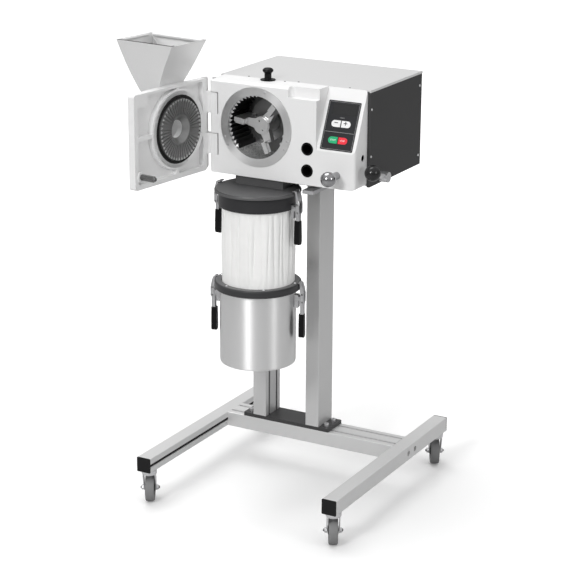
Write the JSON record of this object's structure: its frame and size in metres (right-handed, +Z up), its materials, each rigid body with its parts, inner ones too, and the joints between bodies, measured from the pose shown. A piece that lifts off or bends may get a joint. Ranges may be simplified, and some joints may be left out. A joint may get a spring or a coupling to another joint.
{
  "type": "laboratory mill on a wheeled stand",
  "caption": "Analytical laboratory mill with an open hinged chamber door, feed hopper, sleeve filter and steel collecting vessel, on a wheeled aluminium profile stand.",
  "frame": {"origin": "floor point under the middle of the part's bounding box, door open", "axes": "+X to the right of someone facing the chamber, -Y towards that person, +Z up"},
  "size_m": [0.6718, 0.7388, 1.2206],
  "materials": {
    "profile": "matt anodised",
    "end_cap": "matt",
    "zinc": "satin",
    "dark_plate": "matt",
    "plate": "satin",
    "fork": "bright zinc",
    "wheel": "matt",
    "pan": "textured",
    "white_paint": "fine satin",
    "cover": "brushed",
    "side": "fine textured",
    "membrane": "satin film",
    "key_white": "satin film",
    "key_green": "satin film",
    "key_red": "satin film",
    "turned_steel": "turned",
    "dark_steel": "satin",
    "motor": "satin",
    "black_plastic": "satin",
    "bright": "polished",
    "seal": "matt",
    "hopper_steel": "satin",
    "dark_ring": "matt",
    "cloth": "woven",
    "vessel_steel": "brushed round"
  },
  "bodies": {
    "frame": {"legs": "profile", "leg_end_caps": "end_cap", "cross_member": "profile", "corner_brackets": "zinc", "stand_screws": "zinc", "base_plate": "dark_plate", "columns": "profile", "top_plate": "plate", "base_pan": "pan", "front_casting": "white_paint", "top_cover": "cover", "side_panels": "side", "control_panel": "membrane", "chamber_ring": "turned_steel", "chamber_shell": "dark_steel", "toothed_liner": "dark_steel", "sieve": "turned_steel", "shaft_bearings": "zinc", "drive_motor": "motor", "port_bushes": "black_plastic", "hinge_pin": "zinc", "outlet_coupling": "dark_ring", "collector_lid": "dark_ring", "upper_ring": "dark_ring", "filter_sleeve": "cloth", "lower_ring": "dark_ring", "vessel": "vessel_steel", "latch_bases": "zinc"},
    "castor_front_left": {"castor_fork_front_left": "fork"},
    "wheel_front_left": {"castor_wheel_front_left": "wheel"},
    "castor_front_right": {"castor_fork_front_right": "fork"},
    "wheel_front_right": {"castor_wheel_front_right": "wheel"},
    "castor_rear_left": {"castor_fork_rear_left": "fork"},
    "wheel_rear_left": {"castor_wheel_rear_left": "wheel"},
    "castor_rear_right": {"castor_fork_rear_right": "fork"},
    "wheel_rear_right": {"castor_wheel_rear_right": "wheel"},
    "rotor": {"rotor": "turned_steel", "rotor_shaft": "turned_steel"},
    "door": {"door": "white_paint", "door_ring": "turned_steel", "door_seal": "seal", "serrated_insert": "dark_steel", "lock_spindle": "zinc", "hopper": "hopper_steel"},
    "closing_lever": {"lock_lever": "bright", "lever_ball": "black_plastic"},
    "lock_knob": {"lock_knob": "bright"},
    "pull_knob": {"pull_knob": "black_plastic"},
    "button_minus": {"button_minus": "key_white"},
    "button_plus": {"button_plus": "key_white"},
    "button_start": {"button_start": "key_green"},
    "button_stop": {"button_stop": "key_red"},
    "latch_upper_right": {"latch_upper_right": "black_plastic"},
    "bail_upper_right": {"bail_upper_right": "zinc"},
    "latch_upper_left": {"latch_upper_left": "black_plastic"},
    "bail_upper_left": {"bail_upper_left": "zinc"},
    "latch_lower_right": {"latch_lower_right": "black_plastic"},
    "bail_lower_right": {"bail_lower_right": "zinc"},
    "latch_lower_left": {"latch_lower_left": "black_plastic"},
    "bail_lower_left": {"bail_lower_left": "zinc"}
  },
  "joints": [
    {"name": "swivel_front_left", "type": "hinge", "parent": "frame", "child": "castor_front_left", "pos_m": [-0.23228, -0.29536, 0.095], "axis": [0, 0, 1], "continuous": true},
    {"name": "roll_front_left", "type": "hinge", "parent": "castor_front_left", "child": "wheel_front_left", "pos_m": [-0.24488, -0.27262, 0.0375], "axis": [-0.8746, -0.4848, 0], "continuous": true},
    {"name": "swivel_front_right", "type": "hinge", "parent": "frame", "child": "castor_front_right", "pos_m": [0.31532, -0.29536, 0.095], "axis": [0, 0, 1], "continuous": true},
    {"name": "roll_front_right", "type": "hinge", "parent": "castor_front_right", "child": "wheel_front_right", "pos_m": [0.30272, -0.27262, 0.0375], "axis": [-0.8746, -0.4848, 0], "continuous": true},
    {"name": "swivel_rear_left", "type": "hinge", "parent": "frame", "child": "castor_rear_left", "pos_m": [-0.23228, 0.31064, 0.095], "axis": [0, 0, 1], "continuous": true},
    {"name": "roll_rear_left", "type": "hinge", "parent": "castor_rear_left", "child": "wheel_rear_left", "pos_m": [-0.24488, 0.33338, 0.0375], "axis": [-0.8746, -0.4848, 0], "continuous": true},
    {"name": "swivel_rear_right", "type": "hinge", "parent": "frame", "child": "castor_rear_right", "pos_m": [0.31532, 0.31064, 0.095], "axis": [0, 0, 1], "continuous": true},
    {"name": "roll_rear_right", "type": "hinge", "parent": "castor_rear_right", "child": "wheel_rear_right", "pos_m": [0.30272, 0.33338, 0.0375], "axis": [-0.8746, -0.4848, 0], "continuous": true},
    {"name": "rotor_spin", "type": "hinge", "parent": "frame", "child": "rotor", "pos_m": [-0.02908, -0.03536, 0.9985], "axis": [0, -1, 0], "continuous": true},
    {"name": "door_hinge", "type": "hinge", "parent": "frame", "child": "door", "pos_m": [-0.15748, -0.07536, 0.99], "axis": [0, 0, 1], "range_deg": [0, 97]},
    {"name": "lever_turn", "type": "hinge", "parent": "frame", "child": "closing_lever", "pos_m": [0.26652, 0.04264, 0.8805], "axis": [1, 0, 0], "range_deg": [-75, 40]},
    {"name": "lock_pull", "type": "slide", "parent": "frame", "child": "lock_knob", "axis": [0, -1, 0], "range_m": [0, 0.008], "stiffness_N_per_m": 400},
    {"name": "plunger_pull", "type": "slide", "parent": "frame", "child": "pull_knob", "axis": [0, 0, 1], "range_m": [0, 0.01], "stiffness_N_per_m": 150, "springref_m": -0.004},
    {"name": "press_minus", "type": "slide", "parent": "frame", "child": "button_minus", "axis": [0, 0.9163, -0.4005], "range_m": [0, 0.0008], "stiffness_N_per_m": 600},
    {"name": "press_plus", "type": "slide", "parent": "frame", "child": "button_plus", "axis": [0, 0.9163, -0.4005], "range_m": [0, 0.0008], "stiffness_N_per_m": 600},
    {"name": "press_start", "type": "slide", "parent": "frame", "child": "button_start", "axis": [0, 0.9163, -0.4005], "range_m": [0, 0.0008], "stiffness_N_per_m": 600},
    {"name": "press_stop", "type": "slide", "parent": "frame", "child": "button_stop", "axis": [0, 0.9163, -0.4005], "range_m": [0, 0.0008], "stiffness_N_per_m": 600},
    {"name": "latch_turn_upper_right", "type": "hinge", "parent": "frame", "child": "latch_upper_right", "pos_m": [0.08742, -0.07536, 0.8005], "axis": [0, -1, 0], "range_deg": [0, 100]},
    {"name": "bail_turn_upper_right", "type": "hinge", "parent": "latch_upper_right", "child": "bail_upper_right", "pos_m": [0.09142, -0.07536, 0.7905], "axis": [0, -1, 0], "range_deg": [-100, 0]},
    {"name": "latch_turn_upper_left", "type": "hinge", "parent": "frame", "child": "latch_upper_left", "pos_m": [-0.14558, -0.07536, 0.8005], "axis": [0, 1, 0], "range_deg": [0, 100]},
    {"name": "bail_turn_upper_left", "type": "hinge", "parent": "latch_upper_left", "child": "bail_upper_left", "pos_m": [-0.14958, -0.07536, 0.7905], "axis": [0, 1, 0], "range_deg": [-100, 0]},
    {"name": "latch_turn_lower_right", "type": "hinge", "parent": "frame", "child": "latch_lower_right", "pos_m": [0.08493, -0.04693, 0.5545], "axis": [0.2419, -0.9703, 0], "range_deg": [0, 100]},
    {"name": "bail_turn_lower_right", "type": "hinge", "parent": "latch_lower_right", "child": "bail_lower_right", "pos_m": [0.08881, -0.04596, 0.5445], "axis": [0.2419, -0.9703, 0], "range_deg": [-100, 0]},
    {"name": "latch_turn_lower_left", "type": "hinge", "parent": "frame", "child": "latch_lower_left", "pos_m": [-0.14309, -0.10378, 0.5545], "axis": [-0.2419, 0.9703, 0], "range_deg": [0, 100]},
    {"name": "bail_turn_lower_left", "type": "hinge", "parent": "latch_lower_left", "child": "bail_lower_left", "pos_m": [-0.14697, -0.10475, 0.5445], "axis": [-0.2419, 0.9703, 0], "range_deg": [-100, 0]}
  ],
  "couplings": [
    {"joint": "bail_turn_upper_right", "follows": "latch_turn_upper_right", "ratio": -1},
    {"joint": "bail_turn_upper_left", "follows": "latch_turn_upper_left", "ratio": -1},
    {"joint": "bail_turn_lower_right", "follows": "latch_turn_lower_right", "ratio": -1},
    {"joint": "bail_turn_lower_left", "follows": "latch_turn_lower_left", "ratio": -1}
  ]
}
